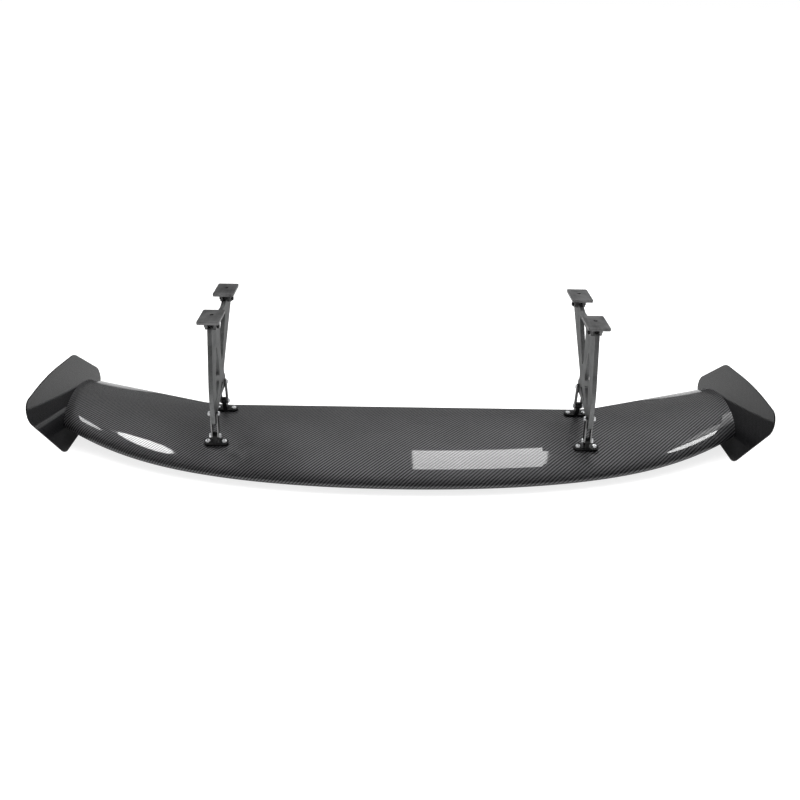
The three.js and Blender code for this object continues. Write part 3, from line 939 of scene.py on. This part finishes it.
def make_bracket(side_name, position):
    node = f"wing_bracket_{position}_{side_name}"
    low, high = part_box(node)
    x = centre(node).x
    seat_y = DRAWING.y + BRACKET_STATIONS[position]
    slope = bracket_slope(side_name, seat_y)
    half_width = BRACKET_WIDTH / 2
    holes = [circle(end * BRACKET_SCREW_SPACING / 2, 0, HOLE_RADIUS) for end in (-1, 1)]
    base = slab(
        f"fine_{node}",
        (high.x - low.x) / 2,
        half_width,
        half_width - 0.2 * MM,
        12,
        holes,
        BRACKET_THICKNESS,
        1 * MM,
    )
    # The base's lowest corner is the CAD box's lowest point
    middle_z = low.z + half_width * math.sin(abs(slope)) + BRACKET_THICKNESS / 2 * math.cos(slope)
    tilt = Matrix.Rotation(slope, 4, "X")
    place = Matrix.Translation((x, seat_y - BRACKET_THICKNESS / 2 * math.sin(slope), middle_z))
    transform(base, place @ tilt)

    pivot = centre(f"pivot_bolt_{position}_lower_{side_name}")
    pivot.x = x
    combine(base, make_lug(f"{node}_lug", pivot, seat_y, middle_z), "UNION")
    finish_piece(smooth(base), node, "black")

    top_y = seat_y - math.sin(slope) * (BRACKET_THICKNESS + FIT_GAP)
    top_z = middle_z + math.cos(slope) * (BRACKET_THICKNESS / 2 + FIT_GAP)
    for end in ("inner", "outer"):
        screw_node = f"bracket_screw_{position}_{end}_{side_name}"
        piece = screw(f"fine_{screw_node}", HEAD_HEIGHT, BRACKET_SCREW_LENGTHS[position], PLAIN_SHANK)
        seat = Matrix.Translation((centre(screw_node).x, top_y, top_z))
        transform(piece, seat @ tilt @ Matrix.Rotation(math.pi / 2, 4, "Y"))
        finish_piece(piece, screw_node, "stainless")


def make_cheek(name, pivot, middle_x, top_z, sign):
    """One side of a foot's clevis: round below the screw, flaring outwards into the plate."""
    inner = PEDESTAL_THICKNESS / 2 + FIT_GAP
    half_width, depth = CHEEK_BOTTOM
    outline = [
        Vector((pivot.x + half_width * math.cos(angle), pivot.y + depth * math.sin(angle)))
        for angle in [math.pi + math.pi * i / 16 for i in range(17)]
    ]
    outline.append(Vector((pivot.x + CHEEK_TOP_HALF_WIDTH, top_z)))
    outline.append(Vector((pivot.x - CHEEK_TOP_HALF_WIDTH, top_z)))
    hole = circle(pivot.x, pivot.y, HOLE_RADIUS)
    cheek = flat_plate(name, outline, [hole], CHEEK_OUTER - inner, EDGE_ROUNDING)
    offset = (inner + CHEEK_OUTER) / 2
    transform(cheek, Matrix.Translation((middle_x + sign * offset, 0, 0)) @ SIDE_PLANE)

    # Above the screw the outer face leans out to meet the plate
    start = pivot.y + CHEEK_FLARE_START
    score(cheek, start)
    for vertex in cheek.data.vertices:
        if vertex.co.z > start and (vertex.co.x - middle_x) * sign > offset:
            share = (vertex.co.z - start) / (top_z - start)
            vertex.co.x += sign * CHEEK_FLARE * share
    return cheek


def make_foot(side_name, position):
    node = f"foot_{position}_{side_name}"
    screw_node = f"foot_screw_{position}_{side_name}"
    low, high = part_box(node)
    middle_x = centre(node).x
    pivot = centre(screw_node).yz
    half = (high - low) / 2
    hole = circle(0, FOOT_HOLE_BEHIND, FOOT_HOLE_RADIUS)
    foot = slab(
        f"fine_{node}", half.x, half.y, FOOT_CORNER, 8, [hole], FOOT_PLATE_THICKNESS, 0.8 * MM
    )
    top_z = high.z - FOOT_PLATE_THICKNESS / 2
    transform(foot, Matrix.Translation((middle_x, pivot.x, top_z)))
    for sign in (-1, 1):
        combine(foot, make_cheek(f"{node}_cheek", pivot, middle_x, top_z, sign), "UNION")
    # The foot takes the lighter copy of the black anodising: painted sheen for the reflection on its
    # top
    finish_piece(smooth(foot), node, "black", look="black_painted_sheen")

    screw_low, screw_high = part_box(screw_node)
    length = screw_high.x - screw_low.x - FOOT_SCREW_HEAD
    piece = screw(f"fine_{screw_node}", FOOT_SCREW_HEAD, length, length * 0.5)
    place_on_axis(piece, screw_node, SIDES[side_name] < 0, "black")


# ---- End plates ----


def make_end_plate(side_name, side):
    node = f"end_plate_{side_name}"
    holes = [circle(y * MM, up * MM, HOLE_RADIUS) for y, up in PLATE_SCREWS]
    plate = flat_plate(
        f"fine_{node}", rounded_outline(PLATE_CORNERS, 24), holes, PLATE_THICKNESS, 1.0 * MM
    )
    lean = (
        Matrix.Translation(DRAWING + Vector((side * PLATE_TOP[0], 0, PLATE_TOP[1])))
        @ Matrix.Rotation(side * FLARE, 4, "Y")
    )
    outwards = Matrix.Translation((side * PLATE_THICKNESS / 2, 0, 0))
    transform(plate, lean @ outwards @ SIDE_PLANE)
    finish_piece(smooth(plate), node, "end_plate")
    for name, (y, up) in zip(("front", "rear"), PLATE_SCREWS):
        screw_node = f"end_plate_screw_{name}_{side_name}"
        piece = screw(f"fine_{screw_node}", HEAD_HEIGHT, PLATE_SCREW_LENGTH, PLAIN_SHANK)
        if side > 0:
            transform(piece, Matrix.Rotation(math.pi, 4, "Z"))
        seat = Matrix.Translation((side * (PLATE_THICKNESS + FIT_GAP), y * MM, up * MM))
        transform(piece, lean @ seat)
        finish_piece(piece, screw_node, "stainless")


# ---- The whole wing ----

make_wing()
for side_name, side in SIDES.items():
    make_end_plate(side_name, side)
    make_pedestal(side_name)
    make_links(side_name)
    make_pivot_fasteners(side_name, -side)
    for position in ("front", "rear"):
        make_bracket(side_name, position)
        make_foot(side_name, position)


# ---- Floor, light and camera ----


FLOOR_RADIUS = 60


def make_floor():
    """A pale floor that glows a little, so that only a faint shadow is left on it."""
    level = cad_box[0].z - 0.5 * MM
    rim = [(point.x, point.y, level) for point in circle(0, 0, FLOOR_RADIUS, 96)]
    floor = mesh_object("floor", rim, [tuple(range(len(rim)))])
    shader = Shader(
        "pale_floor",
        Base_Color=(0.3, 0.3, 0.3, 1),
        Roughness=0.8,
        Specular_IOR_Level=0.1,
        Emission_Color=(1, 1, 1, 1),
    )
    # The glow is left out of reflections, where the real studio is darker
    reflected = shader.add("ShaderNodeLightPath").outputs["Is Glossy Ray"]
    shader.wire(shader.range(reflected, 0.78, 0.05), shader.surface.inputs["Emission Strength"])
    floor.data.materials.append(shader.material)


# Brightness of the studio in reflections: sine of the elevation, brightness
SKY_STOPS = [(0.0, 0.07), (0.25, 0.2), (0.5, 0.25), (0.72, 0.22), (0.88, 0.06), (1.0, 0.03)]


def make_world():
    """White to the camera, even for soft light, and in reflections a studio that is
    bright low behind the wing and dark overhead and in front."""
    world = bpy.data.worlds.new("studio")
    world.use_nodes = True
    bpy.context.scene.world = world
    tree = world.node_tree
    background = tree.nodes["Background"]

    def add(kind, **settings):
        made = tree.nodes.new(kind)
        for key, value in settings.items():
            setattr(made, key, value)
        return made

    def mix(factor, a, b):
        made = add("ShaderNodeMix")
        tree.links.new(factor, made.inputs["Factor"])
        for socket, value in ((made.inputs["A"], a), (made.inputs["B"], b)):
            if isinstance(value, float):
                socket.default_value = value
            else:
                tree.links.new(value, socket)
        return made.outputs["Result"]

    direction = add("ShaderNodeSeparateXYZ")
    tree.links.new(add("ShaderNodeTexCoord").outputs["Generated"], direction.inputs[0])
    by_height = add("ShaderNodeValToRGB")
    stops = by_height.color_ramp.elements
    for _ in range(len(SKY_STOPS) - len(stops)):
        stops.new(0.5)
    for stop, (place, value) in zip(stops, SKY_STOPS):
        stop.position = place
        stop.color = (value, value, value, 1)
    tree.links.new(direction.outputs["Z"], by_height.inputs[0])
    ahead = add("ShaderNodeMapRange", interpolation_type="SMOOTHSTEP")
    ahead.inputs["From Min"].default_value = -0.35
    ahead.inputs["From Max"].default_value = 0.45
    ahead.inputs["To Min"].default_value = 0.06
    tree.links.new(direction.outputs["Y"], ahead.inputs["Value"])
    seen = add("ShaderNodeMath", operation="MULTIPLY")
    tree.links.new(by_height.outputs[0], seen.inputs[0])
    tree.links.new(ahead.outputs[0], seen.inputs[1])
    path = add("ShaderNodeLightPath")
    light = mix(path.outputs["Is Diffuse Ray"], seen.outputs[0], 0.95)
    light = mix(path.outputs["Is Camera Ray"], light, 1.0)
    tree.links.new(light, background.inputs["Color"])


CEILING_HEIGHT = 3.2
SOFTBOX_HEIGHT = 2.6
# Lamps whose reflections show in the lacquer: x, y, shape, width, depth, radiance
SOFTBOXES = {
    "lamp_middle": (0.56, 1.33, "RECTANGLE", 0.88, 0.95, 9.0),
    "lamp_left": (-1.68, 0.95, "ELLIPSE", 0.3, 0.85, 14.0),
    "lamp_far_left": (-2.1, 1.08, "ELLIPSE", 0.25, 0.5, 8.0),
    "lamp_right": (2.2, 0.66, "ELLIPSE", 0.4, 0.55, 12.0),
    "lamp_far_right": (2.1, 1.2, "RECTANGLE", 0.3, 0.4, 2.5),
}


def softbox(name, place, shape, width, depth, radiance, glossy=True):
    """A flat lamp that faces straight down."""
    data = bpy.data.lights.new(name, "AREA")
    data.shape = shape
    data.size = width
    data.size_y = depth
    data.energy = radiance * math.pi * width * depth
    lamp = link(bpy.data.objects.new(name, data))
    lamp.location = place
    lamp.visible_glossy = glossy
    lamp.visible_camera = False


def make_lights():
    softbox("ceiling", (0, 0.3, CEILING_HEIGHT), "RECTANGLE", 5, 4, 4.0, glossy=False)
    for name, (x, y, *settings) in SOFTBOXES.items():
        softbox(name, (x, y, SOFTBOX_HEIGHT), *settings)


CAMERA_PLACE = (-0.0306, -1.8251, 0.961)
CAMERA_PITCH = math.radians(25.0)  # looking down
CAMERA_YAW = math.radians(-0.846)
CAMERA_ROLL = math.radians(1.205)
LENS = 40.1355  # focal length in mm, on a 36 mm sensor


def make_camera():
    """Ahead of the leading edge, looking down on the wing."""
    ahead = Vector((-math.sin(CAMERA_YAW), math.cos(CAMERA_YAW), 0))
    right = Vector((math.cos(CAMERA_YAW), math.sin(CAMERA_YAW), 0))
    up = Vector((0, 0, 1))
    look = math.cos(CAMERA_PITCH) * ahead - math.sin(CAMERA_PITCH) * up
    over = math.sin(CAMERA_PITCH) * ahead + math.cos(CAMERA_PITCH) * up
    image_right = math.cos(CAMERA_ROLL) * right + math.sin(CAMERA_ROLL) * over
    image_up = math.cos(CAMERA_ROLL) * over - math.sin(CAMERA_ROLL) * right
    data = bpy.data.cameras.new("camera")
    data.lens = LENS
    data.sensor_width = 36
    data.clip_end = 500
    camera = link(bpy.data.objects.new("camera", data))
    turn = Matrix((image_right, image_up, -look)).transposed()
    camera.matrix_world = Matrix.Translation(CAMERA_PLACE) @ turn.to_4x4()
    bpy.context.scene.camera = camera


make_floor()
make_world()
make_lights()
make_camera()
bpy.context.scene.view_settings.view_transform = "Standard"
